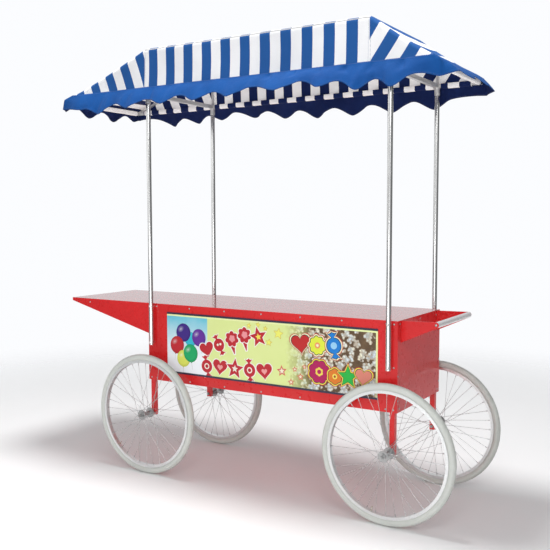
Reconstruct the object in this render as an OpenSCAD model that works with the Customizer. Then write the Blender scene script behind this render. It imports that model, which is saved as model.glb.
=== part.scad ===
// Four-wheeled vending cart for candy floss and popcorn, with a striped canopy that has a flat roof.
// Millimetres. +X points at the push handle, -Y at the customer, +Z up.
// The origin is on the ground, under the middle of the whole cart's length and depth.

/* [Cabinet] */
// Length of the cabinet along X, without the nose and the handle
body_length = 1484; // [1400:1:1600]
// Depth of the cabinet, front face to rear face
body_depth = 541; // [520:1:580]
// Height of the table top above the ground
table_height = 937; // [900:1:980]
// Height of the cabinet's side walls
body_height = 426; // [400:1:440]
// Thickness of the sheet metal
sheet = 1.5; // [1:0.1:2]
// Side of the square leg tube
leg_side = 25; // [22:1:30]
// Side of the square tube of the two welded frames
frame_side = 20; // [16:1:22]

/* [Nose] */
// How far the wedge-shaped nose stands out from the cabinet
nose_length = 587; // [400:1:700]
// Height of the nose's blunt tip
nose_tip = 17; // [12:1:30]
// Height of the nose where it meets the cabinet
nose_root = 169; // [120:1:220]

/* [Wheels] */
// Outside diameter of the tyres
wheel_diameter = 660; // [640:1:680]
// Width of a tyre
tyre_width = 35; // [33:1:38]
// Distance between the front and rear wheel planes
track = 664; // [656:1:680]
// Distance between the left and right axles
wheelbase = 1434; // [1400:1:1440]
// Spokes in one wheel, a multiple of four
spoke_count = 36; // [32:4:40]

/* [Poles] */
// Outside diameter of a canopy pole
pole_diameter = 25; // [22:1:26]
// Distance between the left and right poles
pole_spread = 1410; // [1390:1:1414]
// Height of a pole's lower end
pole_bottom = 710; // [690:1:740]

/* [Canopy] */
// Height of the eave
eave_height = 2083; // [2000:1:2200]
// Height of the flat roof
roof_height = 2312; // [2280:1:2340]
// X of the eave at the nose end
eave_left = -1313; // [-1400:1:-1250]
// X of the eave at the handle end
eave_right = 940; // [900:1:980]
// X of the flat roof's edge towards the nose
roof_left = -716; // [-722:1:-712]
// X of the flat roof's edge towards the handle
roof_right = 606; // [580:1:640]
// Half the canopy's depth at the eave
eave_half = 309.5; // [309:0.5:316]
// Half the canopy's depth at the flat roof
roof_half = 305; // [304:0.5:308]
// Drop of the valance below the eave
valance_drop = 125; // [90:1:130]

/* [Handle] */
// How far the grip's centre stands out from the cabinet
handle_reach = 165; // [120:1:220]
// Height of the grip's centre
handle_height = 924.5; // [915:0.5:925]
// Diameter of the grip tube
grip_diameter = 28; // [24:1:32]
// Overall width of the handle
handle_width = 458; // [400:1:480]

/* [Hidden] */
$fn = 64;
eps = 0.01;
red = [0.78, 0.11, 0.13];
steel = [0.72, 0.72, 0.73];
pale_alloy = [0.80, 0.80, 0.80];
half_length = body_length / 2;
half_depth = body_depth / 2;
body_bottom = table_height - body_height;
under_top = table_height - sheet;
wall = 2;

leg_x = wheelbase / 2;
// The shapes below are drawn about the middle of the cabinet. The cart runs from the nose's tip to the
// handle-end tyres, so its middle is here:
middle_x = (leg_x + wheel_diameter / 2 - half_length - nose_length) / 2;
leg_y = half_depth - sheet - leg_side / 2;
leg_outer_y = leg_y + leg_side / 2;
leg_inner_y = leg_y - leg_side / 2;
leg_inner_x = leg_x - leg_side / 2;
leg_outer_x = leg_x + leg_side / 2;
axle_height = wheel_diameter / 2;
leg_bottom = axle_height - 18;
top_frame_bottom = under_top - frame_side;
base_frame_bottom = body_bottom + sheet;
base_frame_top = base_frame_bottom + frame_side;
floor_top = base_frame_top + sheet;

pole_x = pole_spread / 2;
pole_radius = pole_diameter / 2;
pole_wall = 1.5;
spacer_length = 8;
pole_y = half_depth + spacer_length + pole_radius;
pole_bolt_radius = 4;
pole_bolt_hole = 4.1;
pole_bolt_heights = [722, 922];

rail_side = 20;
rail_top = eave_height - 5;
rail_bottom = rail_top - rail_side;
rail_y = eave_half - 14.5;
rail_end_gap = 8;
skin_drop = 6;
skin_side = 3;
flare_length = 90;
flare_thickness = 4;
roof_side = 16;
roof_frame_top = roof_height - skin_drop - 2;
roof_frame_bottom = roof_frame_top - roof_side;
roof_frame_half = roof_half - skin_side - 0.5;
roof_bar_y = roof_frame_half - roof_side / 2;
rafter_side = 14;
prop_side = 12;
weld_gap = 0.05;
rafter_toe = rail_end_gap + rail_side + 15;
rafter_tip = 0.5 + roof_side / 2;
rafter_rise = roof_frame_bottom - rail_top;
socket_length = 38;
socket_radius = 14;

axle_radius = 5;
hub_bore = 5.05;
hub_half = 46;
flange_offset = 33;
flange_thickness = 3;
flange_radius = 27;
spoke_circle = 22;
spoke_radius = 1;
rim_inner = 284;
rim_half_width = 12;
valve_radius = 3;
nut_height = 8;
nut_across_corners = 17.3;

sign_left = -608;
sign_right = 644;
sign_bottom = 573;
sign_top = 885;
trim_height = 10;

door_bottom = floor_top + 4.5;
door_top = top_frame_bottom - 6;
door_length = 670;
door_thickness = 4;
door_overlap = 20;
outer_door_y = 262;
inner_door_y = 252;
track_height = 12;
track_depth = 22;
groove_width = 5;
groove_depth = 8;
opening_half = 620;
opening_bottom = 556;
opening_top = 893;
pull_radius = 16;
pull_inset = 80;
pull_height = 725;

screw_radius = 2;
screw_hole = 2.05;
screw_head = 4.5;
screw_dome = 2.4;
screw_top = table_height - 16;
screw_bottom = body_bottom + 13;
front_pitch = 228;

// ---- shared shapes ----

// A box between two opposite corners.
module block(low, high) {
    translate(low) cube(high - low);
}

// A cylinder whose axis runs along Y from y0 to y1.
module bar_y(x, z, y0, y1, r) {
    translate([x, min(y0, y1), z]) rotate([-90, 0, 0]) cylinder(h = abs(y1 - y0), r = r);
}

// A cylinder whose axis runs along X from x0 to x1.
module bar_x(y, z, x0, x1, r) {
    translate([min(x0, x1), y, z]) rotate([0, 90, 0]) cylinder(h = abs(x1 - x0), r = r);
}

// A solid rod between any two points.
module rod(a, b, r) {
    d = b - a;
    turn = [0, acos(d[2] / norm(d)), atan2(d[1], d[0])];
    translate(a) rotate(turn) cylinder(h = norm(d), r = r);
}

// A domed head on the plane z = 0, with its short shank below.
module dome_head(head_r, dome, shank_r, shank_l) {
    ball = (head_r * head_r + dome * dome) / (2 * dome);
    rotate_extrude() intersection() {
        translate([0, dome - ball]) circle(ball);
        square([head_r + 1, dome + 1]);
    }
    translate([0, 0, -shank_l]) cylinder(h = shank_l, r = shank_r);
}

// Turns a shape that faces +Z so that it faces outwards at a front (-1) or rear (+1) place.
module facing_y(side) {
    rotate([side > 0 ? -90 : 90, 0, 0]) children();
}

// Turns a shape that faces +Z so that it faces outwards at a left (-1) or right (+1) place.
module facing_x(side) {
    rotate([0, side * 90, 0]) children();
}

// ---- frame and legs ----

// One square leg tube with the axle hole through its foot.
module leg(sx, sy) {
    inner = leg_side / 2 - wall;
    color(red) difference() {
        block([sx * leg_x - leg_side / 2, sy * leg_y - leg_side / 2, leg_bottom],
              [sx * leg_x + leg_side / 2, sy * leg_y + leg_side / 2, top_frame_bottom]);
        block([sx * leg_x - inner, sy * leg_y - inner, leg_bottom - 1],
              [sx * leg_x + inner, sy * leg_y + inner, top_frame_bottom - wall]);
        bar_y(sx * leg_x, axle_height, sy * leg_y - leg_side, sy * leg_y + leg_side, axle_radius + 0.1);
    }
}

// A welded rectangle of square tube with two cross members, hollow all through.
module welded_frame(hx, hy, z) {
    bars = [for (cx = [-1, -1 / 3, 1 / 3, 1]) cx * (hx - frame_side / 2)];
    difference() {
        union() {
            for (s = [-1, 1])
                block([-hx, s * (hy - frame_side / 2) - frame_side / 2, z],
                      [hx, s * (hy - frame_side / 2) + frame_side / 2, z + frame_side]);
            for (x = bars)
                block([x - frame_side / 2, -hy + frame_side / 2, z],
                      [x + frame_side / 2, hy - frame_side / 2, z + frame_side]);
        }
        for (s = [-1, 1])
            block([-hx + wall, s * (hy - frame_side / 2) - frame_side / 2 + wall, z + wall],
                  [hx - wall, s * (hy - frame_side / 2) + frame_side / 2 - wall, z + frame_side - wall]);
        for (x = bars)
            block([x - frame_side / 2 + wall, -hy + wall, z + wall],
                  [x + frame_side / 2 - wall, hy - wall, z + frame_side - wall]);
    }
}

module base_frame() {
    color(red) welded_frame(leg_inner_x, leg_outer_y, base_frame_bottom);
}

module top_frame() {
    color(red) welded_frame(leg_outer_x, leg_outer_y, top_frame_bottom);
}

// ---- sheet metal ----

module floor_panel() {
    color(red) difference() {
        block([-half_length + sheet + 0.5, -leg_outer_y + 2, base_frame_top],
              [half_length - sheet - 0.5, leg_outer_y - 2, floor_top]);
        for (sx = [-1, 1], sy = [-1, 1])
            block([sx * leg_x - leg_side / 2 - 0.2, sy * leg_y - leg_side / 2 - 0.2, base_frame_top - 1],
                  [sx * leg_x + leg_side / 2 + 0.2, sy * leg_y + leg_side / 2 + 3, floor_top + 1]);
        for (sx = [-1, 1], sy = [-1, 1])
            block([sx * leg_x - leg_side / 2 - 0.2, sy * (leg_outer_y - 1) - 3, base_frame_top - 1],
                  [sx * leg_x + leg_side / 2 + 0.2, sy * (leg_outer_y - 1) + 3, floor_top + 1]);
    }
}

module table_top() {
    color(red) block([-half_length, -half_depth, under_top], [half_length, half_depth, table_height]);
}

// The side outline of the nose in X and Z, moved inwards by t.
function nose_outline(t) = let (slope = (nose_root - nose_tip) / nose_length) [
    [-half_length - nose_length + t, table_height - t],
    [-half_length - nose_length + t, table_height - nose_tip - slope * t + t * 1.05],
    [-half_length, table_height - nose_root + t * 1.05],
    [-half_length, table_height - t]
];

// A folded wedge, hollow and open towards the cabinet.
module nose_shell() {
    color(red) difference() {
        translate([0, half_depth, 0]) rotate([90, 0, 0])
            linear_extrude(body_depth) polygon(nose_outline(0));
        translate([eps, half_depth - sheet, 0]) rotate([90, 0, 0])
            linear_extrude(body_depth - 2 * sheet) polygon(nose_outline(sheet));
        for (sy = [-1, 1], p = nose_screws)
            translate([p[0], sy * half_depth, p[1]]) facing_y(sy)
                translate([0, 0, -sheet - 1]) cylinder(h = sheet + 2, r = screw_hole);
    }
}

// X and Z of the screws on the nose and on the long sides.
nose_screws = [[-half_length - nose_length + 141, table_height - 20]];
row_screws = [for (k = [-3:3], z = [screw_bottom, screw_top]) [k * front_pitch, z]];
corner_screws = [for (s = [-1, 1], z = [screw_bottom, screw_top]) [s * (leg_x + 6), z]];
pole_side_screws = [for (s = [-1, 1]) [s * (leg_x + 6), pole_bolt_heights[0] - 2]];
side_screws = concat(row_screws, corner_screws, pole_side_screws);
// Y and Z of the screws on the two ends.
end_screws = concat(
    [for (y = [-1, 0, 1]) [y * (half_depth - 26), screw_top]],
    [for (y = [-1, 1]) [y * (half_depth - 26), screw_bottom + 4]],
    [for (y = [-1, 1], z = [567, 682]) [y * (half_depth - 6), z]]
);

// Y and Z of the screws through the handle's flanges.
arm_screws = [for (y = [-1, 1], z = [table_height - 88, table_height - 22]) [y * (handle_width / 2 - 15), z]];

// The screw and bolt holes of a long side.
module side_holes(sy) {
    for (p = side_screws)
        translate([p[0], sy * half_depth, p[1]]) facing_y(sy)
            translate([0, 0, -sheet - 1]) cylinder(h = sheet + 2, r = screw_hole);
    for (sx = [-1, 1], z = pole_bolt_heights)
        bar_y(sx * pole_x, z, sy * (half_depth - sheet - 1), sy * (half_depth + 1), pole_bolt_hole);
}

module front_panel() {
    color(red) difference() {
        block([-half_length, -half_depth, body_bottom], [half_length, -half_depth + sheet, under_top]);
        side_holes(-1);
    }
}

// The operator's side, with one long opening behind which the doors slide.
module rear_panel() {
    color(red) difference() {
        block([-half_length, half_depth - sheet, body_bottom], [half_length, half_depth, under_top]);
        block([-opening_half, half_depth - sheet - 1, opening_bottom],
              [opening_half, half_depth + 1, opening_top]);
        side_holes(1);
    }
}

// An end wall, with its two side edges folded in to meet the legs.
module end_panel(sx) {
    inner = half_length - sheet;
    color(red) difference() {
        union() {
            block([sx > 0 ? inner : -half_length, -leg_outer_y, body_bottom],
                  [sx > 0 ? half_length : -inner, leg_outer_y, under_top]);
            for (sy = [-1, 1])
                block([min(sx * leg_outer_x, sx * half_length), sy * (leg_outer_y - sheet / 2) - sheet / 2,
                       body_bottom],
                      [max(sx * leg_outer_x, sx * half_length), sy * (leg_outer_y - sheet / 2) + sheet / 2,
                       top_frame_bottom]);
        }
        for (p = concat(end_screws, sx > 0 ? arm_screws : []))
            translate([sx * half_length, p[0], p[1]]) facing_x(sx)
                translate([0, 0, -sheet - 1]) cylinder(h = sheet + 2, r = screw_hole);
    }
}

// ---- sign ----

module front_sign() {
    color([0.85, 0.89, 0.59])
        block([sign_left, -half_depth - 2, sign_bottom], [sign_right, -half_depth, sign_top]);
}

module sign_trims() {
    color([0.06, 0.06, 0.18]) for (z = [sign_bottom - trim_height, sign_top])
        block([sign_left, -half_depth - 3.5, z], [sign_right, -half_depth, z + trim_height]);
}

// ---- sliding doors ----

// X of a door's left edge when it is shut.
function door_start(side) = side < 0 ? door_overlap - door_length : -door_overlap;
function pull_x(side) = side * (door_length - door_overlap - pull_inset);

module sliding_door(side, y) {
    color(red) difference() {
        block([door_start(side), y - door_thickness / 2, door_bottom],
              [door_start(side) + door_length, y + door_thickness / 2, door_top]);
        bar_y(pull_x(side), pull_height, y - door_thickness, y + door_thickness, pull_radius);
    }
}

// A flush finger cup pressed into a door from outside.
module door_pull(side, y) {
    outer = y + door_thickness / 2;
    color([0.10, 0.10, 0.11]) difference() {
        union() {
            bar_y(pull_x(side), pull_height, outer, outer + 1.5, pull_radius + 4);
            bar_y(pull_x(side), pull_height, y - door_thickness / 2 - 1.5, outer, pull_radius);
        }
        bar_y(pull_x(side), pull_height, y - door_thickness / 2 - 0.5, outer + 2, pull_radius - 2);
    }
}

module door_tracks() {
    y0 = outer_door_y + 6 - track_depth;
    color(steel) for (low = [true, false]) {
        z = low ? floor_top : top_frame_bottom - track_height;
        groove = low ? z + track_height - groove_depth : z - 1;
        difference() {
            block([-leg_inner_x + 0.5, y0, z], [leg_inner_x - 0.5, y0 + track_depth, z + track_height]);
            for (y = [inner_door_y, outer_door_y])
                block([-leg_inner_x, y - groove_width / 2, groove],
                      [leg_inner_x, y + groove_width / 2, groove + groove_depth + 1]);
        }
    }
}

// ---- poles ----

module pole(sx, sy) {
    color(steel) difference() {
        translate([sx * pole_x, sy * pole_y, pole_bottom])
            cylinder(h = rail_bottom - pole_bottom, r = pole_radius);
        translate([sx * pole_x, sy * pole_y, pole_bottom - 1])
            cylinder(h = rail_bottom - pole_bottom + 2, r = pole_radius - pole_wall);
        for (z = pole_bolt_heights)
            bar_y(sx * pole_x, z, sy * (pole_y - pole_diameter), sy * (pole_y + pole_diameter),
                  pole_bolt_hole);
    }
}

// Calls its children at each of the eight pole bolts, facing outwards, with the cabinet face at z = 0.
module at_pole_bolts() {
    for (sx = [-1, 1], sy = [-1, 1], z = pole_bolt_heights)
        translate([sx * pole_x, sy * half_depth, z]) facing_y(sy) children();
}

// The spacer's outer end is scooped to sit on the round pole.
module pole_spacers() {
    color(steel) at_pole_bolts() difference() {
        cylinder(h = spacer_length + 3, r = 7);
        translate([0, 0, -1]) cylinder(h = spacer_length + 5, r = pole_bolt_hole);
        translate([0, 0, spacer_length + pole_radius]) rotate([90, 0, 0])
            cylinder(h = 40, r = pole_radius + eps, center = true);
    }
}

module pole_bolts() {
    color(steel) at_pole_bolts() translate([0, 0, spacer_length + pole_diameter])
        dome_head(6.5, 3.6, pole_bolt_radius, spacer_length + pole_diameter + sheet - 0.1);
}

// Cast sleeves that join the pole tops to the eave rails.
module pole_sockets() {
    color(pale_alloy) for (sx = [-1, 1], sy = [-1, 1])
        translate([sx * pole_x, sy * pole_y, rail_bottom - socket_length]) difference() {
            cylinder(h = socket_length, r = socket_radius);
            translate([0, 0, -1]) cylinder(h = socket_length + 2, r = pole_radius + 0.02);
        }
}

// ---- canopy frame ----

// A hollow square tube between two corners, open at both ends along one axis (0 is X, 1 is Y).
module square_tube(low, high, along) {
    grow = along == 0 ? [1, -wall, -wall] : [-wall, 1, -wall];
    color(pale_alloy) difference() {
        block(low, high);
        block(low - grow, high + grow);
    }
}

module crossbar(sx) {
    square_tube([sx * pole_x - rail_side / 2, -rail_y + rail_side / 2, rail_bottom],
                [sx * pole_x + rail_side / 2, rail_y - rail_side / 2, rail_top], 1);
}

module long_rail(sy) {
    square_tube([eave_left + rail_end_gap, sy * rail_y - rail_side / 2, rail_bottom],
                [eave_right - rail_end_gap, sy * rail_y + rail_side / 2, rail_top], 0);
}

module end_rail(x) {
    square_tube([x, -rail_y + rail_side / 2, rail_bottom],
                [x + rail_side, rail_y - rail_side / 2, rail_top], 1);
}

// A rectangular ring of bar, moved inwards on every face by t.
module roof_ring(t) {
    low = [roof_left + 0.5, -roof_frame_half, roof_frame_bottom];
    high = [roof_right - 0.5, roof_frame_half, roof_frame_top];
    core = [roof_side, roof_side, -1];
    difference() {
        block(low + [t, t, t], high - [t, t, t]);
        block(low + core - [t, t, 0], high - core + [t, t, 0]);
    }
}

// The welded rectangle of square tube under the edges of the flat roof.
module roof_frame() {
    color(pale_alloy) difference() {
        roof_ring(0);
        roof_ring(wall);
    }
}

// Half the length of a rafter's level end.
function rafter_half_end(run) = rafter_side / 2 / sin(atan2(rafter_rise, run));

// A square bar on a long rail, whose outline is drawn in the upright plane along that rail.
module side_bar(sy, side, outline) {
    translate([0, sy * roof_bar_y + side / 2, 0]) rotate([90, 0, 0]) linear_extrude(side) polygon(outline);
}

// Uprights above the poles: up to the roof frame at the nose end, up to the rafters at the handle end.
module roof_props() {
    foot = eave_right - rafter_toe;
    run = foot - (roof_right - rafter_tip);
    near = pole_x - prop_side / 2;
    far = pole_x + prop_side / 2;
    function under_rafter(x) =
        rail_top + (foot - rafter_half_end(run) - x) * rafter_rise / run - weld_gap;
    color(pale_alloy) for (sy = [-1, 1]) {
        side_bar(sy, prop_side, [
            [-far, rail_top], [-near, rail_top],
            [-near, roof_frame_bottom - weld_gap], [-far, roof_frame_bottom - weld_gap]
        ]);
        side_bar(sy, prop_side, [
            [near, rail_top], [far, rail_top], [far, under_rafter(far)], [near, under_rafter(near)]
        ]);
    }
}

// Four bars under the sloping edges, each from a long rail up to a corner of the roof frame.
module hip_rafters() {
    top = roof_frame_bottom - weld_gap;
    left_foot = eave_left + rafter_toe;
    left_run = roof_left + rafter_tip - left_foot;
    left_end = rafter_half_end(left_run);
    prop_face = -pole_x - prop_side / 2 - weld_gap;
    right_foot = eave_right - rafter_toe;
    right_head = roof_right - rafter_tip;
    right_end = rafter_half_end(right_foot - right_head);
    color(pale_alloy) for (sy = [-1, 1]) {
        side_bar(sy, rafter_side, [
            [left_foot - left_end, rail_top], [left_foot + left_end, rail_top],
            [prop_face, rail_top + (prop_face - left_foot - left_end) * rafter_rise / left_run],
            [prop_face, top], [left_foot + left_run - left_end, top]
        ]);
        side_bar(sy, rafter_side, [
            [right_foot - right_end, rail_top], [right_foot + right_end, rail_top],
            [right_head + right_end, top], [right_head - right_end, top]
        ]);
    }
}

// ---- canopy cover ----

// Walls from z_low to the eave, two almost upright long faces, two sloping ends and a flat roof. A drop moves
// the ends and the roof straight down, and an inset moves the long faces inwards.
module marquee(z_low, drop, inset) {
    rise = roof_height - eave_height;
    x0 = eave_left + drop / 2 * (roof_left - eave_left) / rise;
    x1 = eave_right - drop / 2 * (eave_right - roof_right) / rise;
    y = eave_half - inset;
    z = eave_height - drop / 2;
    roof_y = roof_half - inset;
    roof_z = roof_height - drop;
    polyhedron(
        points = [
            [x0, -y, z_low], [x1, -y, z_low], [x1, y, z_low], [x0, y, z_low],
            [x0, -y, z], [x1, -y, z], [x1, y, z], [x0, y, z],
            [roof_left, -roof_y, roof_z], [roof_right, -roof_y, roof_z],
            [roof_right, roof_y, roof_z], [roof_left, roof_y, roof_z]
        ],
        faces = [
            [0, 1, 2, 3], [1, 0, 4, 5], [2, 1, 5, 6], [3, 2, 6, 7], [0, 3, 7, 4],
            [5, 4, 8, 9], [6, 5, 9, 10], [7, 6, 10, 11], [4, 7, 11, 8], [11, 10, 9, 8]
        ]
    );
}

// A thin skin with a valance on three sides, and a fourth valance that stands out at the handle end.
module canopy_cover() {
    low = eave_height - valance_drop;
    cut_x = eave_right - skin_drop;
    flare_z = eave_height - flare_thickness - 0.5;
    color([0.15, 0.36, 0.68]) union() {
        difference() {
            marquee(low, 0, 0);
            marquee(low - 1, skin_drop, skin_side);
            block([cut_x, -eave_half - 1, low - 1], [eave_right + 1, eave_half + 1, flare_z]);
        }
        block([eave_right - 4, 1 - eave_half, flare_z],
              [eave_right + flare_length, eave_half - 1, flare_z + flare_thickness]);
    }
}

// ---- handle ----

// A tapering side plate with a rounded tip, and a flange that bolts to the end wall.
module handle_arm(sy) {
    tip_radius = grip_diameter / 2;
    tip = [half_length + handle_reach, handle_height];
    heel = [half_length, table_height - 103];
    reach = norm(tip - heel);
    slope = atan2(tip[1] - heel[1], tip[0] - heel[0]) - asin(tip_radius / reach);
    y = sy > 0 ? handle_width / 2 : -handle_width / 2 + 2;
    flange = [sy * (handle_width / 2 - 2), sy * (handle_width / 2 - 27)];
    color(red) difference() {
        union() {
            translate([0, y, 0]) rotate([90, 0, 0]) linear_extrude(2) union() {
                polygon([
                    heel,
                    tip + tip_radius * [sin(slope), -cos(slope)],
                    tip,
                    tip + [0, tip_radius],
                    [half_length, table_height - 2]
                ]);
                translate(tip) circle(tip_radius);
            }
            block([half_length, min(flange), heel[1]], [half_length + 2, max(flange), table_height - 2]);
        }
        bar_y(tip[0], tip[1], y + 1, y - 3, 3.05);
        for (p = arm_screws)
            translate([half_length, p[0], p[1]]) facing_x(1)
                translate([0, 0, -1]) cylinder(h = 5, r = screw_hole);
    }
}

module handle_grip() {
    x = half_length + handle_reach;
    inner = handle_width / 2 - 2;
    color(steel) difference() {
        bar_y(x, handle_height, -inner + 0.05, inner - 0.05, grip_diameter / 2);
        bar_y(x, handle_height, -inner + 5, inner - 5, grip_diameter / 2 - 1.5);
        bar_y(x, handle_height, -inner - 1, inner + 1, 3.05);
    }
}

// ---- screws ----

// Every domed screw of the cabinet, the nose and the handle.
module panel_screws() {
    shank = sheet - 0.1;
    color(steel) {
        for (sy = [-1, 1], p = concat(side_screws, nose_screws))
            translate([p[0], sy * half_depth, p[1]]) facing_y(sy)
                dome_head(screw_head, screw_dome, screw_radius, shank);
        for (sx = [-1, 1], p = end_screws)
            if (sx > 0 || p[1] < table_height - nose_root - 10)
                translate([sx * half_length, p[0], p[1]]) facing_x(sx)
                    dome_head(screw_head, screw_dome, screw_radius, shank);
        for (p = arm_screws)
            translate([half_length + 2, p[0], p[1]]) facing_x(1)
                dome_head(screw_head, screw_dome, screw_radius, shank + 2);
        for (sy = [-1, 1])
            translate([half_length + handle_reach, sy * handle_width / 2, handle_height]) facing_y(sy)
                dome_head(6, 3, 3, 6);
    }
}

// ---- wheels ----

// Places children at a wheel's centre, with the wheel's outboard side towards its +Z.
module at_wheel(sx, sy) {
    translate([sx * leg_x, sy * track / 2, axle_height]) facing_y(sy) children();
}

// Angle of a wheel's valve, midway between two spokes.
function valve_angle(sx, sy) = (floor(spoke_count * (sx < 0 ? 0.62 : 0.7)) + 0.5) * 360 / spoke_count;

// A hollow tyre whose two beads sit inside the rim, with the valve stem of its inner tube.
module tyre(sx, sy) {
    section = tyre_width / 2;
    centre = wheel_diameter / 2 - section;
    color([0.82, 0.83, 0.81]) at_wheel(sx, sy) {
        rotate_extrude() difference() {
            union() {
                translate([centre, 0]) circle(section);
                translate([rim_inner + 3.1, -9.8]) square([12, 19.6]);
            }
            translate([centre, 0]) circle(section - 3.5);
            translate([rim_inner, -7]) square([centre - rim_inner, 14]);
        }
        rotate([0, 0, valve_angle(sx, sy)]) translate([rim_inner - 24, 0, 0]) rotate([0, 90, 0])
            cylinder(h = 36, r = valve_radius);
    }
}

module rim(sx, sy) {
    color([0.74, 0.75, 0.75]) at_wheel(sx, sy) difference() {
        rotate_extrude() union() {
            translate([rim_inner, -rim_half_width]) square([3, 2 * rim_half_width]);
            for (z = [-rim_half_width, rim_half_width - 2])
                translate([rim_inner, z]) square([13.8, 2]);
        }
        rotate([0, 0, valve_angle(sx, sy)]) translate([rim_inner - 5, 0, 0]) rotate([0, 90, 0])
            cylinder(h = 15, r = valve_radius + 0.2);
    }
}

// One tangential spoke: an elbow at the hub flange, the wire, and its nipple at the rim.
module spoke(index) {
    side = index % 2 == 0 ? 1 : -1;
    outer = floor(index / 2) % 2 == 0;
    rim_angle = index * 360 / spoke_count;
    hub_angle = rim_angle + (outer ? 60 : -60);
    face = side * flange_offset + (outer ? side : -side) * flange_thickness / 2;
    start_z = face + (outer ? 3.1 * side : -1.1 * side);
    hub_end = [spoke_circle * cos(hub_angle), spoke_circle * sin(hub_angle), start_z];
    rim_end = [(rim_inner - 0.5) * cos(rim_angle), (rim_inner - 0.5) * sin(rim_angle), side * 1.5];
    along = (rim_end - hub_end) / norm(rim_end - hub_end);
    rod(hub_end, rim_end, spoke_radius);
    rod(rim_end - 14 * along, rim_end, 2);
    far_z = start_z + 0.4 * sign(start_z - face);
    translate([hub_end[0], hub_end[1], min(face, far_z)]) cylinder(h = abs(far_z - face), r = 1.3);
}

module spokes(sx, sy) {
    color([0.80, 0.80, 0.80]) at_wheel(sx, sy) for (i = [0:spoke_count - 1]) spoke(i);
}

module hub(sx, sy) {
    color(steel) at_wheel(sx, sy) difference() {
        union() {
            translate([0, 0, -hub_half]) cylinder(h = 2 * hub_half, r = 9);
            for (s = [-1, 1]) translate([0, 0, s * (flange_offset + 4)])
                cylinder(h = 8 + flange_thickness, r = 15, center = true);
            for (s = [-1, 1]) translate([0, 0, s * flange_offset])
                cylinder(h = flange_thickness, r = flange_radius, center = true);
            cylinder(h = 2 * flange_offset, r = 11, center = true);
        }
        cylinder(h = 2 * hub_half + 2, r = hub_bore, center = true);
        cylinder(h = 2 * hub_half - 20, r = 8, center = true);
    }
}

// Fixed stub axles, each through the foot of a leg.
module axle_bolts() {
    inboard = track / 2 - leg_inner_y + nut_height + 4;
    color(steel) for (sx = [-1, 1], sy = [-1, 1]) at_wheel(sx, sy)
        translate([0, 0, -inboard]) cylinder(h = inboard + hub_half + 16, r = axle_radius);
}

module axle_nuts() {
    places = [
        leg_inner_y - nut_height - track / 2,
        leg_outer_y - track / 2,
        hub_half + 4.5
    ];
    color(steel) for (sx = [-1, 1], sy = [-1, 1], z = places) at_wheel(sx, sy)
        translate([0, 0, z]) difference() {
            cylinder(h = nut_height, r = nut_across_corners / 2, $fn = 6);
            translate([0, 0, -1]) cylinder(h = nut_height + 2, r = axle_radius + 0.02);
        }
}

module bearing_cones() {
    color(steel) for (sx = [-1, 1], sy = [-1, 1], s = [-1, 1]) at_wheel(sx, sy)
        translate([0, 0, s * (hub_half + 2.4)]) difference() {
            cylinder(h = 4.2, r = 7.5, center = true);
            cylinder(h = 5, r = axle_radius + 0.02, center = true);
        }
}

// ---- nodes ----

// Moves a part so that the whole cart is centred on the origin.
module centred() {
    translate([-middle_x, 0, 0]) children();
}

centred() leg(-1, -1);  // leg_front_left
centred() leg(1, -1);  // leg_front_right
centred() leg(-1, 1);  // leg_rear_left
centred() leg(1, 1);  // leg_rear_right
centred() base_frame();
centred() top_frame();
centred() floor_panel();
centred() table_top();
centred() nose_shell();
centred() front_panel();
centred() rear_panel();
centred() end_panel(-1);  // left_end_panel
centred() end_panel(1);  // right_end_panel
centred() front_sign();
centred() sign_trims();
centred() sliding_door(-1, outer_door_y);  // left_door
centred() sliding_door(1, inner_door_y);  // right_door
centred() door_pull(-1, outer_door_y);  // left_door_pull
centred() door_pull(1, inner_door_y);  // right_door_pull
centred() door_tracks();
centred() pole(-1, -1);  // pole_front_left
centred() pole(1, -1);  // pole_front_right
centred() pole(-1, 1);  // pole_rear_left
centred() pole(1, 1);  // pole_rear_right
centred() pole_spacers();
centred() pole_bolts();
centred() pole_sockets();
centred() crossbar(-1);  // crossbar_left
centred() crossbar(1);  // crossbar_right
centred() long_rail(-1);  // eave_rail_front
centred() long_rail(1);  // eave_rail_rear
centred() end_rail(eave_left + rail_end_gap);  // eave_rail_left
centred() end_rail(eave_right - rail_end_gap - rail_side);  // eave_rail_right
centred() roof_frame();
centred() roof_props();
centred() hip_rafters();
centred() canopy_cover();
centred() handle_arm(-1);  // handle_arm_front
centred() handle_arm(1);  // handle_arm_rear
centred() handle_grip();
centred() panel_screws();
centred() tyre(-1, -1);  // front_left_tyre
centred() rim(-1, -1);  // front_left_rim
centred() spokes(-1, -1);  // front_left_spokes
centred() hub(-1, -1);  // front_left_hub
centred() tyre(1, -1);  // front_right_tyre
centred() rim(1, -1);  // front_right_rim
centred() spokes(1, -1);  // front_right_spokes
centred() hub(1, -1);  // front_right_hub
centred() tyre(-1, 1);  // rear_left_tyre
centred() rim(-1, 1);  // rear_left_rim
centred() spokes(-1, 1);  // rear_left_spokes
centred() hub(-1, 1);  // rear_left_hub
centred() tyre(1, 1);  // rear_right_tyre
centred() rim(1, 1);  // rear_right_rim
centred() spokes(1, 1);  // rear_right_spokes
centred() hub(1, 1);  // rear_right_hub
centred() axle_bolts();
centred() axle_nuts();
centred() bearing_cones();
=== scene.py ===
"""Looks of the four-wheeled candy floss and popcorn cart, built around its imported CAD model.

Everything is in metres in the CAD frame: +X towards the push handle, -Y towards the customer, +Z up.
"""

import math

import bmesh
import bpy
import numpy as np
from mathutils import Matrix, Vector, geometry, noise


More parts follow.
